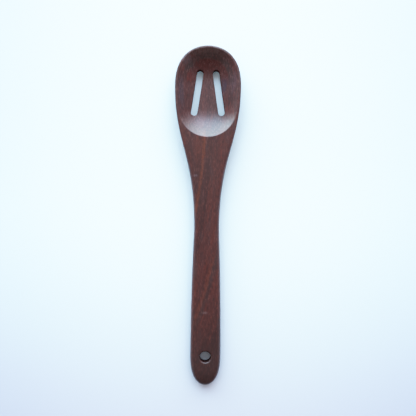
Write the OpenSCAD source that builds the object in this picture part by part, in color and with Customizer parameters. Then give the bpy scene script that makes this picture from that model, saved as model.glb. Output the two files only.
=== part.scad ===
// Slotted serving spoon, carved from one board of dark close-grained wood.
// It lies face up: +Z is up, and +Y runs from the handle's end to the bowl's tip.
// The origin is on the table, under the middle of the spoon.

/* [Handle] */
// Length of the whole spoon, from the handle's end to the bowl's tip
spoon_len = 305; // [295:1:320]
// Width of the handle at its widest place
handle_w = 27.2; // [23:0.2:31]
// From the handle's end to its widest place
handle_reach = 26.6; // [23:0.2:32]
// Thickness of the handle
handle_t = 10; // [8.5:0.5:11.5]
// Width of the waist, the narrowest place
waist_w = 22.4; // [18:0.2:26]
// From the handle's end to the waist
waist_reach = 142; // [130:1:150]
// How far the handle's end curves sideways before it turns up the side
end_pull = 6.5; // [4:0.5:8]
// Straight run of the handle's side from its widest place down to the end's curve
end_side_pull = 19.2; // [14:0.2:22]
// Straight run of the handle's side from its widest place up to the waist
handle_pull = 67; // [40:1:70]
// Straight run of the waist towards the handle's end
waist_low_pull = 8; // [4:1:30]
// Height that the top face falls by at the handle's very end
end_roll = 1.6; // [0.8:0.1:2.4]
// Length over which the top face falls to the handle's end
end_roll_len = 14; // [10:0.5:18]

/* [Bowl] */
// Width of the bowl at its widest place
bowl_w = 58.8; // [52:0.2:64]
// From the bowl's tip to its widest place
bowl_reach = 35.5; // [33:0.5:40]
// Height of the rim above the table at the bowl's widest place
rim_z = 16.5; // [14.5:0.5:20]
// Height that the rim falls by towards the bowl's tip
tip_drop = 2.5; // [1:0.1:4]
// Length over which the rim falls to the tip
tip_drop_len = 60; // [45:1:75]
// Straight run of the waist towards the bowl
waist_high_pull = 65.5; // [50:0.5:70]
// Straight run of the bowl's side towards the waist
bowl_low_pull = 52; // [40:0.5:60]
// Straight run of the bowl's side towards its tip
bowl_high_pull = 30.5; // [25:0.5:32]
// Flat run across the bowl's tip, to one side
tip_pull = 9.5; // [7:0.5:14]
// From the bowl's tip to where its underside is lowest
keel_reach = 50; // [42:1:58]
// From the bowl's tip to where the handle's underside starts to swell into the bowl
neck_reach = 120; // [105:1:130]
// Height of the bowl's underside above the table below the tip's curve
keel_rise = 0.5; // [0.3:0.1:1.2]

/* [Hollow] */
// Width of the rim round the hollow
rim_w = 2.1; // [1.8:0.1:3]
// Thickness of the wood under the middle of the hollow
floor_t = 4.6; // [3.5:0.1:6]
// From the bowl's tip to where the hollow's edge leaves the rim and turns across the spoon
hollow_turn = 59; // [54:0.5:62]
// Length of the wall that climbs from the hollow's flat middle to its edge at the neck
hollow_neck_wall = 29.5; // [24:0.5:33]
// Length of the wall that climbs from the hollow's flat middle to its edge at the tip
hollow_tip_wall = 31; // [26:0.5:34]

/* [Slots] */
// Width of each of the two slots
slot_w = 6.1; // [4.5:0.1:8]
// Length of each slot, with its round ends
slot_len = 42; // [32:0.5:44]
// Distance between the middles of the two slots
slot_gap = 19.6; // [18:0.2:24]
// From the bowl's tip to the middles of the slots
slot_reach = 41; // [38:0.5:44]
// Angle of each slot from the spoon's length, in degrees, closer together at the tip
slot_splay = 8.4; // [0:0.2:11]

/* [Hanging hole] */
// Diameter of the hole
hole_d = 10; // [7:0.5:12]
// From the handle's end to the middle of the hole
hole_reach = 26.6; // [22:0.2:34]
// Width of the sloped edge round each mouth of the hole
hole_ease_w = 1.3; // [0.8:0.1:2]
// Depth of the sloped edge at each mouth of the hole
hole_ease_z = 0.9; // [0.6:0.1:1.6]

/* [Edges] */
// Width of the rounding along the handle's top edge
handle_round_w = 3; // [2:0.1:4]
// Height of the rounding along the handle's top edge
handle_round_z = 3.7; // [2.4:0.1:4.4]
// Width of the rounding along the outside of the bowl's rim
rim_round_w = 0.9; // [0.5:0.1:1.1]
// Height of the rounding along the outside of the bowl's rim
rim_round_z = 1.2; // [0.6:0.1:1.8]
// Height that the top face falls by from the middle to the sides
crown = 0.6; // [0.2:0.1:1]

/* [Hidden] */
wood = [0.31, 0.19, 0.18];
// Overrun of every cut past the wood
over = 4;

// Powers that shape the sections: near 3 is boxy, 2 is round
handle_power = 3;
bowl_power = 5;
hollow_power = 2.2;

// Steps of the skin along the spoon and across it
end_steps = 12;
handle_steps = 16;
neck_steps = 12;
turn_steps = 14;
side_steps = 6;
tip_steps = 18;
round_steps = 4;
shoulder_steps = 3;
under_steps = 9;
hollow_steps = 8;
bore_facets = 64;

// Places along the spoon that follow from the sizes above
bowl_y = spoon_len - bowl_reach;
keel_y = spoon_len - keel_reach;
neck_y = spoon_len - neck_reach;
end_spine_y = handle_reach / 2;
tip_spine_y = spoon_len - bowl_w / 2;

// Right half of the outline, as four curves of four guide points each
end_curve = [
    [0, 0],
    [end_pull, 0],
    [handle_w / 2, handle_reach - end_side_pull],
    [handle_w / 2, handle_reach]
];
handle_curve = [
    [handle_w / 2, handle_reach],
    [handle_w / 2, handle_reach + handle_pull],
    [waist_w / 2, waist_reach - waist_low_pull],
    [waist_w / 2, waist_reach]
];
neck_curve = [
    [waist_w / 2, waist_reach],
    [waist_w / 2, waist_reach + waist_high_pull],
    [bowl_w / 2, bowl_y - bowl_low_pull],
    [bowl_w / 2, bowl_y]
];
tip_curve = [
    [bowl_w / 2, bowl_y],
    [bowl_w / 2, bowl_y + bowl_high_pull],
    [tip_pull, spoon_len],
    [0, spoon_len]
];

function mix(a, b, t) = a + (b - a) * t;
function ramp(a, b, v) = min(1, max(0, (v - a) / (b - a)));
function ease(t) = t * t * (3 - 2 * t);

// Point at share t of a curve with four guide points
function on_curve(c, t) =
    pow(1 - t, 3) * c[0] + 3 * t * pow(1 - t, 2) * c[1] + 3 * t * t * (1 - t) * c[2] + pow(t, 3) * c[3];

// Direction of the curve at share t
function along_curve(c, t) =
    pow(1 - t, 2) * (c[1] - c[0]) + 2 * t * (1 - t) * (c[2] - c[1]) + t * t * (c[3] - c[2]);

// Outward direction, square to the outline at share t
function outward(c, t) =
    let (d = along_curve(c, t))
    [d.y, -d.x] / norm(d);

// Share t at which a rising curve reaches y, found by halving
function share_at(c, y, low = 0, high = 1, turns = 40) =
    let (t = (low + high) / 2)
    turns == 0 ? t
    : on_curve(c, t).y < y ? share_at(c, y, t, high, turns - 1)
    : share_at(c, y, low, t, turns - 1);

// The line from the outline's turn to the spoon's axis gives the round end of the hollow
turn_share = share_at(neck_curve, spoon_len - hollow_turn);
turn_p = on_curve(neck_curve, turn_share);
turn_out = outward(neck_curve, turn_share);
hollow_r = turn_p.x / turn_out.x - rim_w;
hollow_centre_y = turn_p.y - turn_out.y * turn_p.x / turn_out.x;
hollow_y = hollow_centre_y - hollow_r;
turn_angle = asin(turn_out.y);
hollow_share = share_at(neck_curve, hollow_y);

// The middle of the hollow is a short line along the axis
hollow_low_y = hollow_y + hollow_neck_wall;
hollow_high_y = spoon_len - rim_w - hollow_tip_wall;

// Height of the straight line that the top face follows between its two ends
function line_z(y) = mix(handle_t, rim_z, (y - end_spine_y) / (bowl_y - end_spine_y));

// Height of the top face on the axis: that line, which falls at both ends
function top_z(y) =
    line_z(y)
    - tip_drop * pow(ramp(spoon_len - tip_drop_len, spoon_len, y), 2)
    - end_roll * pow(1 - ramp(0, end_roll_len, y), 2);

// How far a place has changed from the handle's section to the bowl's
function bowlness(y) = ease(ramp(neck_y, keel_y, y));

// Height of the underside on the axis
function keel_z(y) =
    (line_z(y) - handle_t) * (1 - bowlness(y))
    + keel_rise * pow(ramp(keel_y, tip_spine_y, y), 2);

// Axis point that an outline point's section runs to: the sections fan out at both round ends
function spine_y(y) = min(tip_spine_y, max(end_spine_y, y));

function round_w(y) = mix(handle_round_w, rim_round_w, bowlness(y));
function round_z(y) = mix(handle_round_z, rim_round_z, bowlness(y));

// Stations round the right half of the outline, from the handle's end to the tip.
// Each holds its outline point, its outward direction, the inner end of its top face
// and the crown's share at that inner end.
function handle_station(c, t) =
    let (p = on_curve(c, t))
    [p, outward(c, t), [0, spine_y(p.y)], 0];

function turn_station(k) =
    let (
        t = mix(hollow_share, turn_share, k),
        p = on_curve(neck_curve, t),
        a = mix(-90, turn_angle, k),
        inner = k == 0 ? [0, hollow_y] : [hollow_r * cos(a), hollow_centre_y + hollow_r * sin(a)]
    )
    [p, outward(neck_curve, t), inner, inner.x / p.x];

function rim_station(c, t) =
    let (
        p = on_curve(c, t),
        n = outward(c, t),
        inner = t == 1 && p.x == 0 ? [0, spoon_len - rim_w] : p - rim_w * n
    )
    [p, n, inner, 1 - rim_w / norm(p - [0, spine_y(p.y)])];

handle_stations = [
    for (k = [0 : end_steps - 1]) handle_station(end_curve, k / end_steps),
    for (k = [0 : handle_steps - 1]) handle_station(handle_curve, k / handle_steps),
    for (k = [0 : neck_steps - 1]) handle_station(neck_curve, hollow_share * k / neck_steps)
];
bowl_stations = [
    for (k = [0 : turn_steps]) turn_station(k / turn_steps),
    for (k = [1 : side_steps]) rim_station(neck_curve, mix(turn_share, 1, k / side_steps)),
    for (k = [1 : tip_steps]) rim_station(tip_curve, k / tip_steps)
];
stations = concat(handle_stations, bowl_stations);

// Point of the top face: place p in plan, crown share q, and how far up the rounding it is
function top_point(p, q, up, y_edge) =
    [p.x, p.y, top_z(p.y) - crown * q * q - round_z(y_edge) * (1 - up)];

// One station's row of the top face, from the outline to its inner end
function top_row(s) =
    let (
        p = s[0],
        w = round_w(p.y),
        reach = norm(p - [0, spine_y(p.y)]),
        shoulder = p - w * s[1],
        q = 1 - w / reach
    )
    [
        for (k = [0 : round_steps])
            let (a = 90 * k / round_steps, in = w * (1 - cos(a)))
            top_point(p - in * s[1], 1 - in / reach, sin(a), p.y),
        for (k = [1 : shoulder_steps])
            top_point(mix(shoulder, s[2], k / shoulder_steps), mix(q, s[3], k / shoulder_steps), 1, p.y)
    ];

// One station's row of the underside, from the outline to the axis
function under_row(s) =
    let (
        p = s[0],
        edge = top_row(s)[0],
        inner = [0, spine_y(p.y)],
        b = bowlness(p.y)
    )
    [
        for (k = [0 : under_steps])
            let (
                r = k == under_steps ? 0 : cos(90 * k / under_steps),
                fall = mix(1 - pow(1 - pow(r, handle_power), 1 / handle_power), pow(r, bowl_power), b),
                place = mix(inner, p, r)
            )
            [place.x, place.y, mix(keel_z(inner.y), edge.z, fall)]
    ];

// One station's row of the hollow, from its edge to the short line in its middle
function hollow_row(s) =
    let (
        edge = top_point(s[2], s[3], 1, s[0].y),
        inner = [0, min(hollow_high_y, max(hollow_low_y, s[2].y))]
    )
    [
        for (k = [0 : hollow_steps])
            let (
                r = 1 - k / hollow_steps,
                place = mix(inner, s[2], r)
            )
            [place.x, place.y, mix(floor_t, edge.z, pow(r, hollow_power))]
    ];

// Triangles between neighbouring rows, without those that shrink to nothing
function skin(rows) = [
    for (i = [0 : len(rows) - 2], k = [0 : len(rows[0]) - 2])
        for (t = [
            [rows[i][k], rows[i + 1][k], rows[i + 1][k + 1]],
            [rows[i][k], rows[i + 1][k + 1], rows[i][k + 1]]
        ])
            if (t[0] != t[1] && t[1] != t[2] && t[2] != t[0]) t
];
function turned(tris) = [for (t = tris) [t[2], t[1], t[0]]];
function mirrored(tris) = [for (t = tris) [for (k = [2, 1, 0]) [-t[k].x, t[k].y, t[k].z]]];

right_half = concat(
    skin([for (s = stations) top_row(s)]),
    turned(skin([for (s = stations) under_row(s)])),
    skin([for (s = bowl_stations) hollow_row(s)])
);
whole_skin = concat(right_half, mirrored(right_half));

// The carved blank, with its hollow and without its openings
module carved_blank() {
    polyhedron(
        points = [for (t = whole_skin) each t],
        faces = [for (i = [0 : len(whole_skin) - 1]) [3 * i + 2, 3 * i + 1, 3 * i]]
    );
}

// One slot, standing upright through the floor of the bowl
module slot() {
    straight = slot_len - slot_w;
    translate([0, 0, -over])
        linear_extrude(rim_z + 2 * over)
            union() {
                square([slot_w, straight], center = true);
                for (end = [-1, 1])
                    translate([0, end * straight / 2])
                        circle(d = slot_w, $fn = bore_facets);
            }
}

// The hanging hole with its two sloped mouths
module hanging_hole() {
    under = keel_z(hole_reach);
    top = top_z(hole_reach);
    widen = hole_ease_w / hole_ease_z;
    translate([0, hole_reach, under - over])
        cylinder(h = top - under + 2 * over, d = hole_d, $fn = bore_facets);
    translate([0, hole_reach, top - hole_ease_z])
        cylinder(
            h = hole_ease_z + over,
            r1 = hole_d / 2,
            r2 = hole_d / 2 + hole_ease_w + over * widen,
            $fn = bore_facets
        );
    translate([0, hole_reach, under - over])
        cylinder(
            h = hole_ease_z + over,
            r1 = hole_d / 2 + hole_ease_w + over * widen,
            r2 = hole_d / 2,
            $fn = bore_facets
        );
}

module spoon() {
    color(wood)
        translate([0, -spoon_len / 2, 0])
            difference() {
                carved_blank();
                for (side = [-1, 1])
                    translate([side * slot_gap / 2, spoon_len - slot_reach, 0])
                        rotate(side * slot_splay)
                            slot();
                hanging_hole();
            }
}

spoon();
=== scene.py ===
"""Slotted serving spoon, carved from one board of dark wood, lying face up on a pale table."""

import math

import bpy
import numpy as np
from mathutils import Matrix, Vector
from mathutils.bvhtree import BVHTree
from mathutils.geometry import delaunay_2d_cdt


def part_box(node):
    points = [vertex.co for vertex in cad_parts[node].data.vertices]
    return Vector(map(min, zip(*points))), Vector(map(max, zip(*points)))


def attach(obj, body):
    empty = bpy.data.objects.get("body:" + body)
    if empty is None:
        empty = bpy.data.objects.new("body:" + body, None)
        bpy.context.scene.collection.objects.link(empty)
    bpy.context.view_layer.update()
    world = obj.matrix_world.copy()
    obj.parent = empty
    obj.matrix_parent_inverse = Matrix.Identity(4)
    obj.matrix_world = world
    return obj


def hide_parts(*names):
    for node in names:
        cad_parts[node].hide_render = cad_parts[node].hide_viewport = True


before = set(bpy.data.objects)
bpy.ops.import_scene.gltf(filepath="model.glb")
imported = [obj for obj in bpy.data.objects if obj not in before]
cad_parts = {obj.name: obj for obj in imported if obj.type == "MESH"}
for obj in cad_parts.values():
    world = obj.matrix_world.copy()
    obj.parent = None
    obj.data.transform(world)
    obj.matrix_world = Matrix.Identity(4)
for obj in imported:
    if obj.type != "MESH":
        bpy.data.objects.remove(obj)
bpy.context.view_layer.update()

MM = 0.001
low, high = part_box("spoon")
SPOON_LEN = (high.y - low.y) / MM
BOWL_W = (high.x - low.x) / MM

# Outline seen from above, in millimetres from the handle's end
HANDLE_W = 27.2
HANDLE_REACH = 26.6
WAIST_W = 22.4
WAIST_REACH = 142.0
END_PULL = 6.5
END_SIDE_PULL = 19.2
HANDLE_PULL = 67.0
WAIST_LOW_PULL = 8.0
WAIST_HIGH_PULL = 65.5
BOWL_Y = SPOON_LEN - 35.5
BOWL_LOW_PULL = 52.0
BOWL_HIGH_PULL = 30.5
TIP_PULL = 9.5

# Heights above the table
HANDLE_T = 10.0
RIM_Z = 16.5
TIP_DROP = 2.5
TIP_DROP_LEN = 60.0
END_ROLL = 1.6
END_ROLL_LEN = 14.0
CROWN = 0.6
FLOOR_T = 4.6
KEEL_RISE = 0.5
KEEL_Y = SPOON_LEN - 50.0
NECK_Y = SPOON_LEN - 120.0
END_SPINE_Y = HANDLE_REACH / 2
TIP_SPINE_Y = SPOON_LEN - BOWL_W / 2

# Rounded edges: width and height on the handle, then on the bowl's rim
HANDLE_ROUND = (3.0, 3.7)
RIM_ROUND = (0.9, 1.2)
# Powers of the cross section: underside of the handle, underside of the bowl, wall of the hollow
HANDLE_POWER = 3.0
BOWL_POWER = 5.0
HOLLOW_POWER = 2.2

# The hollow of the bowl: the rim's width, where the round end begins, the lengths of the sloping
# wall at both ends, and half the width of the hollow's rounded edge
RIM_W = 2.1
HOLLOW_TURN_Y = SPOON_LEN - 59.0
HOLLOW_NECK_WALL = 29.5
HOLLOW_TIP_WALL = 31.0
HOLLOW_EDGE = 0.45
# The first line of points from the hollow to the outline ends this much nearer the handle, so that
# no two of these lines cross
FIRST_LINE = 1.0

# Slots and hanging hole. The two eases are the width and depth of the rounded edges.
SLOT_W = 6.1
SLOT_LEN = 42.0
SLOT_GAP = 19.6
SLOT_Y = SPOON_LEN - 41.0
SLOT_SPLAY = math.radians(8.4)
SLOT_EASE = (0.3, 0.3)
HOLE_R = 5.0
HOLE_Y = 26.6
HOLE_EASE = (1.3, 0.9)

# Steps of the skin: along the outline, then across it
END_STEPS = 36
HANDLE_STEPS = 84
NECK_STEPS = 56
TURN_STEPS = 60
SIDE_STEPS = 18
TIP_STEPS = 64
ROUND_STEPS = 8
SHOULDER_STEPS = 9
EDGE_STEPS = 4
HOLLOW_STEPS = 26
UNDER_STEPS = 28


def mix(a, b, t):
    return a + (b - a) * t


def ramp(a, b, v):
    return np.clip((v - a) / (b - a), 0.0, 1.0)


def ease(t):
    return t * t * (3 - 2 * t)


def guide(*points):
    return np.array(points, float)


# The right half of the outline, from the handle's end to the tip
END_CURVE = guide(
    (0, 0),
    (END_PULL, 0),
    (HANDLE_W / 2, HANDLE_REACH - END_SIDE_PULL),
    (HANDLE_W / 2, HANDLE_REACH),
)
HANDLE_CURVE = guide(
    (HANDLE_W / 2, HANDLE_REACH),
    (HANDLE_W / 2, HANDLE_REACH + HANDLE_PULL),
    (WAIST_W / 2, WAIST_REACH - WAIST_LOW_PULL),
    (WAIST_W / 2, WAIST_REACH),
)
NECK_CURVE = guide(
    (WAIST_W / 2, WAIST_REACH),
    (WAIST_W / 2, WAIST_REACH + WAIST_HIGH_PULL),
    (BOWL_W / 2, BOWL_Y - BOWL_LOW_PULL),
    (BOWL_W / 2, BOWL_Y),
)
TIP_CURVE = guide(
    (BOWL_W / 2, BOWL_Y),
    (BOWL_W / 2, BOWL_Y + BOWL_HIGH_PULL),
    (TIP_PULL, SPOON_LEN),
    (0, SPOON_LEN),
)
# Halvings that find a place on a curve
HALVINGS = 50


def on_curve(c, t):
    """Points of the cubic curve with guide points c, at the shares t of its way."""
    t = np.asarray(t, float)[..., None]
    s = 1 - t
    return s**3 * c[0] + 3 * t * s**2 * c[1] + 3 * t * t * s * c[2] + t**3 * c[3]


def outward(c, t):
    """Unit direction square to the curve, away from the spoon."""
    t = np.asarray(t, float)[..., None]
    s = 1 - t
    d = s**2 * (c[1] - c[0]) + 2 * t * s * (c[2] - c[1]) + t * t * (c[3] - c[2])
    d = d / np.linalg.norm(d, axis=-1, keepdims=True)
    return np.stack([d[..., 1], -d[..., 0]], axis=-1)


def share_at(c, y):
    """Share along a rising curve where it reaches y."""
    a, b = 0.0, 1.0
    for _ in range(HALVINGS):
        t = (a + b) / 2
        a, b = (t, b) if on_curve(c, t)[1] < y else (a, t)
    return t


def top_line(y):
    """Height of the straight line along the top, from the handle to the bowl's widest place."""
    return mix(HANDLE_T, RIM_Z, (y - END_SPINE_Y) / (BOWL_Y - END_SPINE_Y))


def top_z(y):
    """Height of the top on the axis, with the tip's drop and the roll of the handle's end."""
    tip = TIP_DROP * ramp(SPOON_LEN - TIP_DROP_LEN, SPOON_LEN, y) ** 2
    end = END_ROLL * (1 - ramp(0, END_ROLL_LEN, y)) ** 2
    return top_line(y) - tip - end


def bowlness(y):
    """0 on the handle, 1 in the bowl."""
    return ease(ramp(NECK_Y, KEEL_Y, y))


def keel_z(y):
    """Height of the underside on the axis."""
    line = top_line(y) - HANDLE_T
    return line * (1 - bowlness(y)) + KEEL_RISE * ramp(KEEL_Y, TIP_SPINE_Y, y) ** 2


def spine(y):
    """Axis points that the sections run to."""
    y = np.clip(y, END_SPINE_Y, TIP_SPINE_Y)
    return np.stack([np.zeros_like(y), y], axis=-1)


class Hollow:
    """Round end of the hollow towards the handle, tangent to the rim's inner line."""

    turn = share_at(NECK_CURVE, HOLLOW_TURN_Y)
    p = on_curve(NECK_CURVE, turn)
    n = outward(NECK_CURVE, turn)
    r = p[0] / n[0] - RIM_W
    centre = np.array([0.0, p[1] - n[1] * p[0] / n[0]])
    angle = math.asin(n[1])
    y = centre[1] - r
    start = share_at(NECK_CURVE, y - HOLLOW_EDGE - FIRST_LINE)


def stations():
    """Right half of the outline: points, outward directions, the hollow's edge with its own outward
    directions, the crown's share at that edge, and whether there is a hollow."""
    parts = []

    def add(c, t, hollow):
        p, n = on_curve(c, t), outward(c, t)
        reach = np.linalg.norm(p - spine(p[:, 1]), axis=-1)
        if hollow:
            edge, facing, q = p - RIM_W * n, n, 1 - RIM_W / reach
        else:
            edge, facing, q = spine(p[:, 1]), n * 0, reach * 0
        parts.append((p, n, edge, facing, q, np.full(len(t), hollow)))

    def shares(count):
        return np.arange(count) / count

    add(END_CURVE, shares(END_STEPS), False)
    add(HANDLE_CURVE, shares(HANDLE_STEPS), False)
    add(NECK_CURVE, Hollow.start * shares(NECK_STEPS), False)

    k = np.linspace(0, 1, TURN_STEPS + 1)
    t = mix(Hollow.start, Hollow.turn, k)
    p = on_curve(NECK_CURVE, t)
    a = mix(-math.pi / 2, Hollow.angle, k)
    facing = np.stack([np.cos(a), np.sin(a)], axis=-1)
    facing[0] = (0, -1)
    edge = Hollow.centre + Hollow.r * facing
    q = edge[:, 0] / p[:, 0]
    parts.append((p, outward(NECK_CURVE, t), edge, facing, q, np.full(len(k), True)))

    add(NECK_CURVE, mix(Hollow.turn, 1, (1 + np.arange(SIDE_STEPS)) / SIDE_STEPS), True)
    add(TIP_CURVE, (1 + np.arange(TIP_STEPS)) / TIP_STEPS, True)
    return [np.concatenate(x) for x in zip(*parts)]


P, N, EDGE, FACING, Q_EDGE, IN_BOWL = stations()
# The last station is the tip itself, on the axis
P[-1] = (0, SPOON_LEN)
EDGE[-1] = (0, SPOON_LEN - RIM_W)
FACING[-1] = (0, 1)
# The top face stops just short of the hollow's corner, which is then rounded over
OUTER = EDGE + HOLLOW_EDGE * FACING
INNER = EDGE - HOLLOW_EDGE * FACING


def raise_points(plan, q, sunk):
    """Points of the top face from plan places, the crown's share q and the drop over a rounding."""
    z = top_z(plan[..., 1]) - CROWN * q * q - sunk
    return np.concatenate([plan, z[..., None]], axis=-1)


def top_grid():
    """The top face, from the outline over the rounded edge to the hollow or the axis."""
    b = bowlness(P[:, 1])
    w = mix(HANDLE_ROUND[0], RIM_ROUND[0], b)
    h = mix(HANDLE_ROUND[1], RIM_ROUND[1], b)
    reach = np.linalg.norm(P - spine(P[:, 1]), axis=-1)
    rows = []
    for k in range(ROUND_STEPS + 1):
        a = math.pi / 2 * k / ROUND_STEPS
        inward, sunk = w * (1 - math.cos(a)), h * (1 - math.sin(a))
        rows.append(raise_points(P - inward[:, None] * N, 1 - inward / reach, sunk))
    shoulder = P - w[:, None] * N
    q_in = np.where(IN_BOWL, Q_EDGE, 0)
    for k in range(1, SHOULDER_STEPS + 1):
        t = k / SHOULDER_STEPS
        rows.append(raise_points(mix(shoulder, OUTER, t), mix(1 - w / reach, q_in, t), 0))
    return np.stack(rows, axis=1)


def under_grid(edge_z):
    """The underside, from the outline to the axis."""
    b = bowlness(P[:, 1])
    s = spine(P[:, 1])
    keel = keel_z(s[:, 1])
    rows = []
    for k in range(UNDER_STEPS + 1):
        r = 0.0 if k == UNDER_STEPS else math.cos(math.pi / 2 * k / UNDER_STEPS)
        boxy = 1 - (1 - r**HANDLE_POWER) ** (1 / HANDLE_POWER)
        z = mix(keel, edge_z, mix(boxy, r**BOWL_POWER, b))
        rows.append(np.concatenate([mix(s, P, r), z[:, None]], axis=1))
    return np.stack(rows, axis=1)


def hollow_grid(outer_row):
    """The rounded edge of the hollow and its wall, down to a short line on the axis."""
    edge, inner, q = EDGE[IN_BOWL], INNER[IN_BOWL], Q_EDGE[IN_BOWL]
    corner = raise_points(edge, q, 0)
    neck_end = Hollow.y + HOLLOW_NECK_WALL
    tip_end = SPOON_LEN - RIM_W - HOLLOW_TIP_WALL
    middle_y = np.clip(edge[:, 1], neck_end, tip_end)
    middle = np.stack([np.zeros_like(middle_y), middle_y], axis=-1)
    full = np.linalg.norm(edge - middle, axis=-1)

    def wall(plan):
        s = np.linalg.norm(plan - middle, axis=-1) / full
        return np.concatenate([plan, mix(FLOOR_T, corner[:, 2], s**HOLLOW_POWER)[:, None]], axis=-1)

    first, last = outer_row[IN_BOWL], wall(inner)
    rows = []
    for t in np.linspace(0, 1, EDGE_STEPS + 1):
        rows.append((1 - t) ** 2 * first + 2 * t * (1 - t) * corner + t * t * last)
    for k in range(1, HOLLOW_STEPS + 1):
        rows.append(wall(mix(inner, middle, k / HOLLOW_STEPS)))
    return np.stack(rows, axis=1)


class Skin:
    """Faces over shared points. Points that agree to DECIMALS of a millimetre are one point."""

    DECIMALS = 5

    def __init__(self):
        self.points, self.index, self.faces, self.sheets = [], {}, [], []

    def point(self, p):
        key = tuple(np.round(p, self.DECIMALS) + 0.0)
        if key not in self.index:
            self.index[key] = len(self.points)
            self.points.append(key)
        return self.index[key]

    def face(self, ids, sheet):
        ids = [a for k, a in enumerate(ids) if a != ids[k - 1]]
        if len(ids) > 2:
            self.faces.append(ids)
            self.sheets.append(sheet)

    def grid(self, g, sheet, upward):
        """A grid of points of the right half, and its mirror image."""
        for side in (1, -1):
            ids = [[self.point(p * (side, 1, 1)) for p in row] for row in g]
            turn = upward == (side == 1)
            for a, b in zip(ids, ids[1:]):
                for k in range(len(a) - 1):
                    quad = [a[k], b[k], b[k + 1], a[k + 1]]
                    self.face(quad if turn else quad[::-1], sheet)


def stadium(centre, angle, straight, r):
    """Two functions of an opening's outline: points at an offset from it, spread evenly, and the
    offset at which plan points are."""
    along = np.array([-math.sin(angle), math.cos(angle)])
    across = np.array([math.cos(angle), math.sin(angle)])

    def ring(offset, count):
        points = []
        total = 2 * straight + 2 * math.pi * r
        for k in range(count):
            s = total * k / count
            for end in (1, -1):
                if s < straight:
                    u, v = end * r, end * (s - straight / 2)
                    du, dv = end, 0
                    break
                s -= straight
                if s < math.pi * r:
                    a = s / r
                    du, dv = end * math.cos(a), end * math.sin(a)
                    u, v = r * du, end * straight / 2 + r * dv
                    break
                s -= math.pi * r
            points.append(centre + across * (u + offset * du) + along * (v + offset * dv))
        return np.array(points)

    def gap(plan):
        d = plan - centre
        v, u = d @ along, d @ across
        return np.hypot(u, np.maximum(np.abs(v) - straight / 2, 0)) - r

    return ring, gap


# Steps round the openings, over their rounded edges and down their walls
SLOT_STEPS = 150
HOLE_STEPS = 72
EASE_STEPS = 6
WALL_STEPS = 4
# The skin's faces make way for an opening up to this far outside its rounded edge
CLEAR = 0.55
# Points nearer than this are one point where the faces round an opening are filled in
SAME_PLACE = 1e-6
# Middle, angle, length of the straight sides, radius, rounded edge and steps
OPENINGS = [
    ((x, SLOT_Y), angle, SLOT_LEN - SLOT_W, SLOT_W / 2, SLOT_EASE, SLOT_STEPS)
    for x, angle in ((-SLOT_GAP / 2, -SLOT_SPLAY), (SLOT_GAP / 2, SLOT_SPLAY))
]
OPENINGS.append(((0.0, HOLE_Y), 0.0, 0.0, HOLE_R, HOLE_EASE, HOLE_STEPS))


def loop_of(faces):
    """The closed line of points round a patch of faces."""
    edges = {(a, b) for f in faces for a, b in zip(f, f[1:] + f[:1])}
    after = {a: b for a, b in edges if (b, a) not in edges}
    start = next(iter(sorted(after)))
    line = [start]
    while after[line[-1]] != start:
        line.append(after[line[-1]])
    assert len(line) == len(after), "the patch round an opening is not one piece"
    return line


def inside(polygon, p):
    """Whether p is inside, told by how often a line from it crosses the polygon."""
    a, b = polygon, np.roll(polygon, -1, axis=0)
    crosses = (a[:, 1] > p[1]) != (b[:, 1] > p[1])
    with np.errstate(divide="ignore", invalid="ignore"):
        x = a[:, 0] + (p[1] - a[:, 1]) * (b[:, 0] - a[:, 0]) / (b[:, 1] - a[:, 1])
    return np.count_nonzero(crosses & (p[0] < x)) % 2 == 1


def fill_round(skin, line, ring, sheet, upward):
    """Triangles between a closed line of points and the ring of points inside it."""
    ids = line + ring
    flat = np.array([skin.points[i][:2] for i in ids])
    n, count = len(line), len(ring)
    bounds = [(k, (k + 1) % n) for k in range(n)]
    bounds += [(n + k, n + (k + 1) % count) for k in range(count)]
    outline, hole = flat[:n], flat[n:]
    all_triangles = 0
    found = delaunay_2d_cdt([Vector(p) for p in flat], bounds, [], all_triangles, SAME_PLACE)
    triangles, origin = found[2], found[3]
    for t in triangles:
        t = [origin[k][0] for k in t]
        middle = flat[t].mean(axis=0)
        if inside(hole, middle) or not inside(outline, middle):
            continue
        (ax, ay), (bx, by), (cx, cy) = flat[t]
        rising = (bx - ax) * (cy - ay) - (by - ay) * (cx - ax) > 0
        skin.faces.append([ids[k] for k in (t if rising == upward else t[::-1])])
        skin.sheets.append(sheet)


def rings_between(skin, upper, lower):
    """Rings of new points that divide the wall from one ring down to the other."""
    rings = []
    for k in range(1, WALL_STEPS):
        rings.append([len(skin.points) + j for j in range(len(upper))])
        skin.points += [
            tuple(mix(np.array(skin.points[a]), np.array(skin.points[b]), k / WALL_STEPS))
            for a, b in zip(upper, lower)
        ]
    return rings


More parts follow.
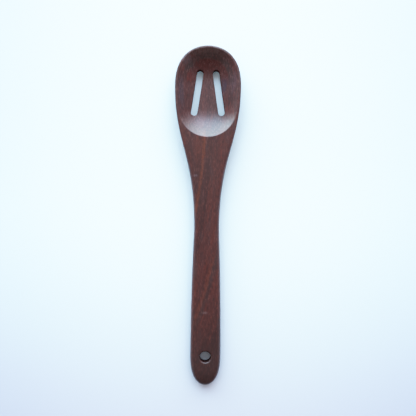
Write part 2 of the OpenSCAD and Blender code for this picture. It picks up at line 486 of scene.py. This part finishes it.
def cut_openings(skin):
    """Cuts each opening through both faces, with rounded edges and a straight wall between them."""
    points = np.array(skin.points)
    sides = {1: [], -1: []}
    for k, sheet in enumerate(skin.sheets):
        sides[-1 if sheet == "under" else 1].append(k)
    trees = {}
    for side, ids in sides.items():
        trees[side] = BVHTree.FromPolygons(skin.points, [skin.faces[k] for k in ids])
    far = 100.0

    def height(x, y, side):
        hit = trees[side].ray_cast(Vector((x, y, side * far)), Vector((0, 0, -side)))[0]
        return hit.z

    for middle, angle, straight, r, (soft, deep), count in OPENINGS:
        ring, gap = stadium(np.array(middle), angle, straight, r)
        near = gap(points[:, :2]) < soft + CLEAR
        rims = {}
        for side in (1, -1):
            patch = [k for k in sides[side] if skin.faces[k] and near[skin.faces[k]].any()]
            line = loop_of([skin.faces[k] for k in patch])
            sheet = skin.sheets[patch[0]]
            for k in patch:
                skin.faces[k] = []
            rims[side] = []
            for k in range(EASE_STEPS + 1):
                a = math.pi / 2 * k / EASE_STEPS
                sunk = side * deep * (1 - math.cos(a))
                plan = ring(soft * (1 - math.sin(a)), count)
                rims[side].append([len(skin.points) + j for j in range(count)])
                skin.points += [(x, y, height(x, y, side) - sunk) for x, y in plan]
            fill_round(skin, line, rims[side][0], sheet, side == 1)
        walls = rings_between(skin, rims[1][-1], rims[-1][-1])
        column = rims[1] + walls + rims[-1][::-1]
        for a, b in zip(column, column[1:]):
            for j in range(count):
                i = (j + 1) % count
                skin.faces.append([a[j], a[i], b[i], b[j]])
                skin.sheets.append("wall")


def make_spoon():
    skin = Skin()
    top = top_grid()
    skin.grid(top, "top", True)
    skin.grid(under_grid(top[:, 0, 2]), "under", False)
    skin.grid(hollow_grid(top[:, -1]), "hollow", True)
    cut_openings(skin)
    # The frame's origin is under the middle of the spoon, and its unit is the metre
    shift = np.array([0, -SPOON_LEN / 2, 0])
    faces = [f for f in skin.faces if f]
    used = sorted({i for f in faces for i in f})
    place = {old: new for new, old in enumerate(used)}
    points = [tuple((np.array(skin.points[i]) + shift) * MM) for i in used]
    mesh = bpy.data.meshes.new("carved_spoon")
    mesh.from_pydata(points, [], [[place[i] for i in f] for f in faces])
    mesh.validate()
    mesh.shade_smooth()
    spoon = bpy.data.objects.new("carved_spoon", mesh)
    bpy.context.scene.collection.objects.link(spoon)
    return spoon


class Nodes:
    """Short way to write the nodes of a material or of the world."""

    # Sockets of the mix node that hold its two colours and its result
    MIX_A, MIX_B, MIX_RESULT = 6, 7, 2

    def __init__(self, owner):
        owner.use_nodes = True
        self.tree = owner.node_tree
        self.tree.nodes.clear()

    def add(self, kind, inputs=None, **settings):
        n = self.tree.nodes.new(kind)
        for key, value in settings.items():
            setattr(n, key, value)
        for key, value in (inputs or {}).items():
            if isinstance(value, bpy.types.NodeSocket):
                self.tree.links.new(value, n.inputs[key])
            else:
                n.inputs[key].default_value = value
        return n

    def math(self, operation, a, b=0.0, c=0.0):
        return self.add("ShaderNodeMath", {0: a, 1: b, 2: c}, operation=operation).outputs[0]

    def times(self, first, *others):
        for other in others:
            first = self.math("MULTIPLY", first, other)
        return first

    def length(self, u, v):
        return self.math("SQRT", self.math("ADD", self.times(u, u), self.times(v, v)))

    def between(self, value, a, b, to_a=0.0, to_b=1.0, smooth=True):
        """Goes from to_a to to_b while the value goes from a to b, and stays level outside that."""
        kind = "SMOOTHSTEP" if smooth else "LINEAR"
        inputs = {"Value": value, "From Min": a, "From Max": b, "To Min": to_a, "To Max": to_b}
        return self.add("ShaderNodeMapRange", inputs, interpolation_type=kind).outputs["Result"]

    def noise(self, where, scale, detail, rough, distortion=0.0):
        inputs = {
            "Vector": where,
            "Scale": scale,
            "Detail": detail,
            "Roughness": rough,
            "Distortion": distortion,
        }
        return self.add("ShaderNodeTexNoise", inputs).outputs["Fac"]

    def blend(self, share, a, b, how="MIX"):
        inputs = {0: share, self.MIX_A: a, self.MIX_B: b}
        settings = {"data_type": "RGBA", "blend_type": how, "clamp_factor": True}
        return self.add("ShaderNodeMix", inputs, **settings).outputs[self.MIX_RESULT]

    def place(self, kind):
        return self.add("ShaderNodeTexCoord").outputs[kind]

    def parts(self, vector):
        return tuple(self.add("ShaderNodeSeparateXYZ", {0: vector}).outputs)

    def vector(self, x, y, z):
        return self.add("ShaderNodeCombineXYZ", {0: x, 1: y, 2: z}).outputs[0]


def srgb(r, g, b):
    """A colour given as it looks on a screen, as the light it sends back."""

    def light(v):
        return v / 12.92 if v <= 0.04045 else ((v + 0.055) / 1.055) ** 2.4

    return light(r / 255), light(g / 255), light(b / 255), 1.0


# The wood's figure, in millimetres from the middle of the spoon. Growth rings cross it aslant along
# a curve x = a + b * y + c * y * y, straight past RINGS_END, and lean over with height.
RINGS = (0.0, 0.16, -0.00095)
RINGS_END = 84.0
RINGS_LEAN = 0.6
# How fast the rings change along the spoon and with height, and the fibres and dashes along it.
# Across the spoon it is 1.
RINGS_ALONG = 0.035
RINGS_UP = 0.2
FIBRES_ALONG = 0.12
DASHES_ALONG = 0.28
# Noise fields: scale, detail, roughness and, where there is any, distortion
BROAD = (0.11, 3.0, 0.5, 0.3)
BAND = (0.5, 4.0, 0.6, 0.3)
DRIFT = (0.35, 2.0, 0.5)
FIBRE = (0.7, 5.0, 0.65, 0.2)
MOTTLE = (0.42, 3.0, 0.6, 0.6)
FINE = (2.1, 4.0, 0.65)
PORE = (3.2, 3.0, 0.5, 0.1)
SPECKLE = (0.9, 3.0, 0.7)
# Range of a field, and what it gives at the range's two ends if that isn't 0 and 1
PORE_OPEN = (0.60, 0.70)
WOBBLE = (0.3, 0.7, -0.5, 0.5)
STREAK_DRIFT = (0.3, 0.7, -0.7, 0.7)
BROAD_MID = (0.35, 0.65)
BAND_WARM = (0.45, 0.75, 0, 0.55)
MOTTLE_GREY = (0.50, 0.68, 0, 0.5)
FIBRE_WARM = (0.52, 0.72, 0, 0.55)
SPECKLE_LIGHT = (0.52, 0.68)
SPECKLE_DARK = (0.48, 0.33, 0, 0.85)
FINE_DARK = (0.35, 0.6, 0.4, 0)
PORE_SHARE = 0.6

DARK = srgb(54, 27, 27)
MID = srgb(75, 37, 34)
WARM = srgb(98, 43, 32)
GREY = srgb(68, 48, 48)
FLECK = srgb(96, 58, 52)
BOWL_FLECK = srgb(103, 72, 70)
SPECKLE_TONE = srgb(50, 26, 24)
FINE_TONE = srgb(48, 28, 26)
PORE_TONE = srgb(40, 28, 28)
BESIDE_STREAK = srgb(58, 42, 41)
# The next colour is painted shade for the handle's end, not a tone of the wood
END_PAINTED_SHADE = srgb(47, 37, 36)

# Streaks: the curve, then where it starts, is full, begins to fade and has gone, counted from the
# handle's end towards the tip, its colour, and how strong the dark line beside it is
STREAKS = (
    ((-11.23, 0.2068, -0.00129), (-4, 10, 68, 84), (122, 62, 34), 0.25),
    ((12.07, 0.1021, -0.00143), (-108, -92, -46, -26), (104, 54, 38), 0.7),
)
STREAK_HALF = 0.5
STREAK_SOFT = 1.9
STREAK_SHARE = 0.46
BESIDE_SOFT = 2.2
BESIDE_OFFSET = 2.9
# Patches of other colour on the upper side: middle, half size, colour and strength
PATCHES_AND_PAINTED_SHEEN = (
    # Painted reflection at the tip: a lighter, greyer tone on its wall, partly the wood's own
    # greyer tone
    ((0, 148), (20, 6), (96, 82, 80), 0.8),
    ((-19, 140), (5, 8), (94, 88, 94), 0.5),
    ((-14.5, 134.4), (6, 4), (44, 36, 36), 0.7),
    ((-15.5, 126), (5, 6), (92, 30, 20), 0.85),
    ((14.8, 118), (3.2, 10), (48, 44, 62), 0.75),
    ((-23.5, 110), (4, 18), (66, 62, 72), 0.6),
    ((22, 120), (4, 10), (88, 74, 84), 0.4),
    ((21, 94), (4, 8), (118, 58, 48), 0.35),
    # Painted sheen on the bowl's floor: a lighter, greyer tone for a faint reflection, partly
    # washed greyer wood
    ((0, 106), (13, 24), (92, 64, 66), 0.3),
    ((-6, 64), (9, 14), (110, 54, 38), 0.25),
    ((5, 40), (6, 26), (72, 44, 40), 0.25),
    ((-1.5, -86), (3.4, 1.4), (128, 110, 110), 0.4),
    ((-10.4, 36.5), (2.4, 1.2), (122, 108, 114), 0.35),
)
# Shares of a patch's half size between which it fades
PATCH_EDGE = (0.45, 1.15)
# How much a face looks upwards where patches start and are in full
UPPER_SIDE = (-0.2, 0.3)
# Bands of colour by height near the tip, on the hollow's wall: four heights, colour and strength
TIP_HEIGHT_BANDS = (
    ((5.0, 6.4, 8.9, 9.5), (72, 16, 12), 0.8),
    ((9.1, 10.0, 11.6, 12.6), (52, 42, 41), 0.7),
)
TIP_BANDS_START = (117, 130)
# Painted shade: the wood's colour is darkened towards the handle's end between these two places
END_SHADE_SPAN = (-56, -145)
END_SHADE_SHARE = 0.65
# Strength of the light flecks before that span and past it, and where they turn to the bowl's tone
FLECK_SHARE = (0.85, 0.5)
FLECK_SPAN = (66, 84)

# The surface: roughness from the fine grain and the mottle, the grain's relief, and a coat of oil
ROUGH_FINE = (0.2, 0.8, 0.27, 0.37)
ROUGH_MOTTLE = (0.3, 0.7, 0, 0.07)
RELIEF_FINE = 0.5
RELIEF_DEPTH = 0.2 * MM
RELIEF_SHARE = 0.25
INDEX = 1.5
SHINE = 0.5
COAT = 0.38
COAT_ROUGH = 0.3
# The walls of the openings are as the cutter left them: rough and without polish. That fades
# between these two distances from their outline.
CUT_ROUGH = 0.85
CUT_SHINE = 0.1
CUT_EDGE = (0.05, 0.2)


def on_path(m, y, path):
    """How far to the side a curve of the figure is at y."""
    return m.math("MULTIPLY_ADD", m.math("MULTIPLY_ADD", y, path[2], path[1]), y, path[0])


class Figure:
    """The places, in millimetres, and the noise fields that the wood's figure is drawn from."""

    def __init__(self, m):
        metres = m.place("Object")
        to_mm = (1 / MM,) * 3
        places = m.add("ShaderNodeVectorMath", {0: metres, 1: to_mm}, operation="MULTIPLY")
        x, y, z = m.parts(places.outputs[0])
        self.x, self.y, self.z = x, y, z

        # Rings run along the figure's curve, pores along the spoon
        off_curve = m.math("SUBTRACT", x, on_path(m, m.math("MINIMUM", y, RINGS_END), RINGS))
        across = m.math("ADD", off_curve, m.times(z, RINGS_LEAN))
        rings = m.vector(across, m.times(y, RINGS_ALONG), m.times(z, RINGS_UP))
        fibres = m.vector(x, m.times(y, FIBRES_ALONG), z)
        dashes = m.vector(x, m.times(y, DASHES_ALONG), z)
        self.broad = m.noise(rings, *BROAD)
        self.band = m.noise(rings, *BAND)
        self.fibre = m.noise(fibres, *FIBRE)
        self.mottle = m.noise(fibres, *MOTTLE)
        self.fine = m.noise(fibres, *FINE)
        self.speckle = m.noise(dashes, *SPECKLE)
        self.pores = m.between(m.noise(fibres, *PORE), *PORE_OPEN)
        self.wobble = m.between(self.mottle, *WOBBLE, smooth=False)
        self.drift = m.between(m.noise(rings, *DRIFT), *STREAK_DRIFT, smooth=False)


def bands(m, f):
    colour = m.blend(m.between(f.broad, *BROAD_MID), DARK, MID)
    return m.blend(m.between(f.band, *BAND_WARM), colour, WARM)


def add_patches_and_painted_sheen(m, f, colour):
    upper_side = m.between(m.parts(m.place("Normal"))[2], *UPPER_SIDE)
    # Most patches are the wood's figure; two are partly painted sheen and reflection, as marked in
    # the list
    for middle, size, tone, strength in PATCHES_AND_PAINTED_SHEEN:
        u = m.times(m.math("SUBTRACT", f.x, middle[0]), 1 / size[0])
        v = m.times(m.math("SUBTRACT", f.y, middle[1]), 1 / size[1])
        patch = m.between(m.math("ADD", m.length(u, v), f.wobble), *PATCH_EDGE, 1, 0)
        colour = m.blend(m.times(patch, strength, upper_side), colour, srgb(*tone))
    return colour


def add_tip_bands(m, f, colour):
    height = m.math("ADD", f.z, f.wobble)
    near_tip = m.between(f.y, *TIP_BANDS_START)
    for (low_start, low_full, high_full, high_end), tone, strength in TIP_HEIGHT_BANDS:
        above = m.between(height, low_start, low_full)
        below = m.between(height, high_full, high_end, 1, 0)
        colour = m.blend(m.times(above, below, near_tip, strength), colour, srgb(*tone))
    return colour


def streak(m, offset, soft, y, span):
    """Share of a streak: offset is the distance across it and soft the width of its soft edge."""
    across = m.between(m.math("ABSOLUTE", offset), STREAK_HALF, STREAK_HALF + soft, 1, 0)
    along = m.times(m.between(y, span[0], span[1]), m.between(y, span[2], span[3], 1, 0))
    return m.times(across, along)


def add_streaks(m, f, colour):
    for path, span, tone, beside_share in STREAKS:
        offset = m.math("ADD", m.math("SUBTRACT", f.x, on_path(m, f.y, path)), f.drift)
        beside = streak(m, m.math("SUBTRACT", offset, BESIDE_OFFSET), BESIDE_SOFT, f.y, span)
        colour = m.blend(m.times(beside, beside_share), colour, BESIDE_STREAK)
        share = streak(m, offset, STREAK_SOFT, f.y, span)
        colour = m.blend(m.times(share, STREAK_SHARE), colour, srgb(*tone))
    return colour


def add_grain(m, f, colour):
    colour = m.blend(m.between(f.mottle, *MOTTLE_GREY), colour, GREY)
    colour = m.blend(m.between(f.fibre, *FIBRE_WARM), colour, WARM)
    # Painted shade: the colour darkens towards the handle's end
    end_shade = m.between(f.y, *END_SHADE_SPAN)
    colour = m.blend(m.times(end_shade, END_SHADE_SHARE), colour, END_PAINTED_SHADE)
    fleck_share = m.between(end_shade, 0, 1, *FLECK_SHARE)
    flecks = m.times(m.between(f.speckle, *SPECKLE_LIGHT), fleck_share)
    fleck_tone = m.blend(m.between(f.y, *FLECK_SPAN), FLECK, BOWL_FLECK)
    colour = m.blend(flecks, colour, fleck_tone)
    colour = m.blend(m.between(f.speckle, *SPECKLE_DARK), colour, SPECKLE_TONE)
    colour = m.blend(m.between(f.fine, *FINE_DARK), colour, FINE_TONE)
    return m.blend(m.times(f.pores, PORE_SHARE), colour, PORE_TONE)


def cut_share(m, x, y):
    """1 on the walls of the slots and the hole, 0 a fifth of a millimetre away from them."""
    share = 0.0
    for (cx, cy), angle, straight, r, _, _ in OPENINGS:
        dx, dy = m.math("SUBTRACT", x, cx), m.math("SUBTRACT", y, cy - SPOON_LEN / 2)
        u = m.math("MULTIPLY_ADD", dx, math.cos(angle), m.times(dy, math.sin(angle)))
        v = m.math("MULTIPLY_ADD", dx, -math.sin(angle), m.times(dy, math.cos(angle)))
        v = m.math("MAXIMUM", m.math("SUBTRACT", m.math("ABSOLUTE", v), straight / 2), 0.0)
        near = m.between(m.length(u, v), r + CUT_EDGE[0], r + CUT_EDGE[1], 1, 0)
        share = m.math("MAXIMUM", share, near)
    return share


def wood_material():
    wood = bpy.data.materials.new("dark_oiled_wood")
    m = Nodes(wood)
    f = Figure(m)
    colour = bands(m, f)
    for add_more in (add_patches_and_painted_sheen, add_tip_bands, add_streaks, add_grain):
        colour = add_more(m, f, colour)

    cut = cut_share(m, f.x, f.y)
    rough = m.math("ADD", m.between(f.fine, *ROUGH_FINE), m.between(f.mottle, *ROUGH_MOTTLE))
    rough = m.math("MAXIMUM", rough, m.times(cut, CUT_ROUGH))
    relief = m.math("SUBTRACT", m.times(f.fine, RELIEF_FINE), f.pores)
    bump = {"Strength": RELIEF_SHARE, "Distance": RELIEF_DEPTH, "Height": relief}
    normal = m.add("ShaderNodeBump", bump).outputs[0]
    shader = m.add(
        "ShaderNodeBsdfPrincipled",
        {
            "Base Color": colour,
            "Roughness": rough,
            "Normal": normal,
            "IOR": INDEX,
            "Specular IOR Level": m.between(cut, 0, 1, SHINE, CUT_SHINE),
            "Coat Weight": m.between(cut, 0, 1, COAT, 0),
            "Coat Roughness": COAT_ROUGH,
            "Coat IOR": INDEX,
            "Coat Normal": normal,
        },
    )
    m.add("ShaderNodeOutputMaterial", {"Surface": shader.outputs[0]})
    return wood


# The table, in metres from its middle: half its size, and where its painted shade starts and is
# full
TABLE_HALF = 2.0
TABLE_WHITE = (0.735, 0.91, 0.98, 1)
TABLE_NEAR_PAINTED_SHADE = (0.46, 0.487, 0.58, 1)
TABLE_NEAR_SHADE_SPAN = (0.03, -0.26)
TABLE_ASIDE_PAINTED_SHADE = (0.78, 0.78, 0.85, 1)
TABLE_ASIDE_SHADE_SPAN = (0.03, 0.30)
TABLE_ROUGH = 0.6


def table_material():
    """Smooth pale table top, with painted shade that darkens it a little towards the near edge and
    the sides.
    """
    table = bpy.data.materials.new("pale_table")
    m = Nodes(table)
    x, y, _ = m.parts(m.place("Object"))
    # Painted shade: darker towards the near edge, then towards both sides
    colour = m.blend(m.between(y, *TABLE_NEAR_SHADE_SPAN), TABLE_WHITE, TABLE_NEAR_PAINTED_SHADE)
    aside_shade = m.between(m.math("ABSOLUTE", x), *TABLE_ASIDE_SHADE_SPAN)
    colour = m.blend(aside_shade, colour, TABLE_ASIDE_PAINTED_SHADE, "MULTIPLY")
    inputs = {"Base Color": colour, "Roughness": TABLE_ROUGH}
    shader = m.add("ShaderNodeBsdfPrincipled", inputs)
    m.add("ShaderNodeOutputMaterial", {"Surface": shader.outputs[0]})
    return table


def make_table():
    corners = [(a * TABLE_HALF, b * TABLE_HALF, 0) for a, b in ((-1, -1), (1, -1), (1, 1), (-1, 1))]
    mesh = bpy.data.meshes.new("table")
    mesh.from_pydata(corners, [], [(0, 1, 2, 3)])
    mesh.materials.append(table_material())
    table = bpy.data.objects.new("table", mesh)
    bpy.context.scene.collection.objects.link(table)


# The camera looks straight down: its height above the table, the width of table that it sees, where
# its axis meets the table, and its turn about that axis
CAMERA_HEIGHT = 0.5
VIEW_WIDTH = 0.3802
CAMERA_X = 0.0011
CAMERA_Y = 0.0077
CAMERA_ROLL = math.radians(0.59)


def make_camera():
    data = bpy.data.cameras.new("overhead_camera")
    data.sensor_fit = "HORIZONTAL"
    data.lens = data.sensor_width * CAMERA_HEIGHT / VIEW_WIDTH
    camera = bpy.data.objects.new("overhead_camera", data)
    camera.location = (CAMERA_X, CAMERA_Y, CAMERA_HEIGHT)
    camera.rotation_euler = (0, 0, CAMERA_ROLL)
    bpy.context.scene.collection.objects.link(camera)
    bpy.context.scene.camera = camera


# Light from the room. Heights are sines of the elevation: 0 at the horizon, 1 overhead. Bearings
# are degrees to the left of the bowl's tip. The window dims upwards at WINDOW_BEND, ends at
# WINDOW_HIGH, and is warmer towards its right side.
WINDOW_LOW_LIGHT = (6.6, 9.0, 10.0)
WINDOW_HIGH_LIGHT = (5.1, 6.6, 8.3)
WINDOW_BEND = (0.2, 0.5)
WINDOW_HIGH = (0.68, 0.84)
WINDOW_RIGHT = (-62, -12)
# Height range over which the window's left edge draws in, and its bearings at both ends
WINDOW_LEFT = (0, 0.6, 72, 36)
WINDOW_SOFT = 8
WINDOW_WARM_LIGHT = (0.9, 0.1, 0.0)
WINDOW_WARM = (5, -40)
# Light from both sides, up to where the overhead glow starts: from which bearings to which
SIDE_LIGHT = (0.48, 0.42, 0.46)
SIDES = ((30, 60), (110, 150))
# The overhead glow: heights where it starts and where it falls to ZENITH of itself, and the
# bearings past which it is dimmed to OVERHEAD_DIM
OVERHEAD_LIGHT = (1.15, 1.08, 1.1)
OVERHEAD = ((0.78, 0.90), (0.955, 0.985))
ZENITH = 0.66
OVERHEAD_BACK = (60, 120)
OVERHEAD_DIM = 0.1
ROOM_LIGHT = (0.26, 0.22, 0.21)


def room_light():
    """Blue daylight from a window past the bowl's tip, wider on the left near the sill, side light
    and a dimmer glow overhead, in a dim room."""
    world = bpy.data.worlds.new("room")
    m = Nodes(world)
    x, y, up = m.parts(m.place("Generated"))
    bearing = m.math("DEGREES", m.math("ARCTAN2", m.times(x, -1.0), y))
    turned = m.math("ABSOLUTE", bearing)

    past_left = m.math("SUBTRACT", bearing, m.between(up, *WINDOW_LEFT, smooth=False))
    window = m.times(
        m.between(bearing, *WINDOW_RIGHT),
        m.between(past_left, -WINDOW_SOFT, WINDOW_SOFT, 1, 0),
        m.between(up, *WINDOW_HIGH, 1, 0),
    )
    upper = m.between(up, *WINDOW_BEND)
    sides = m.times(
        m.between(turned, *SIDES[0]),
        m.between(turned, *SIDES[1], 1, 0),
        m.between(up, *OVERHEAD[0], 1, 0),
    )
    overhead = m.times(
        m.between(up, *OVERHEAD[0]),
        m.between(up, *OVERHEAD[1], 1, ZENITH),
        m.between(turned, *OVERHEAD_BACK, 1, OVERHEAD_DIM),
    )
    lights = [
        m.add("ShaderNodeBackground", {"Color": colour + (1,), "Strength": share}).outputs[0]
        for colour, share in (
            (WINDOW_LOW_LIGHT, m.times(window, m.math("SUBTRACT", 1.0, upper))),
            (WINDOW_HIGH_LIGHT, m.times(window, upper)),
            (WINDOW_WARM_LIGHT, m.times(window, m.between(bearing, *WINDOW_WARM))),
            (SIDE_LIGHT, sides),
            (OVERHEAD_LIGHT, overhead),
            (ROOM_LIGHT, 1.0),
        )
    ]
    total = lights[0]
    for light in lights[1:]:
        total = m.add("ShaderNodeAddShader", {0: total, 1: light}).outputs[0]
    m.add("ShaderNodeOutputWorld", {"Surface": total})
    bpy.context.scene.world = world


# Tone curve of the camera: light in, light kept. Dark tones are deepened a little and bright ones
# rolled off. It starts at 0 by itself.
TONES = (
    (0.03, 0.022), (0.06, 0.05), (0.12, 0.115), (0.25, 0.27), (0.40, 0.46),
    (0.60, 0.67), (0.80, 0.82), (1.0, 0.92), (1.3, 0.985), (1.6, 1.0),
)
# The curve that red, green and blue share
ALL_COLOURS = 3


def develop():
    view = bpy.context.scene.view_settings
    view.view_transform = "Standard"
    view.use_curve_mapping = True
    mapping = view.curve_mapping
    brightest = TONES[-1][0]
    mapping.white_level = (brightest,) * 3
    points = mapping.curves[ALL_COLOURS].points
    for light, kept in TONES[:-1]:
        points.new(light / brightest, kept)
    mapping.update()


make_camera()
spoon = make_spoon()
spoon.data.materials.append(wood_material())
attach(spoon, "root")
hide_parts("spoon")
make_table()
room_light()
develop()
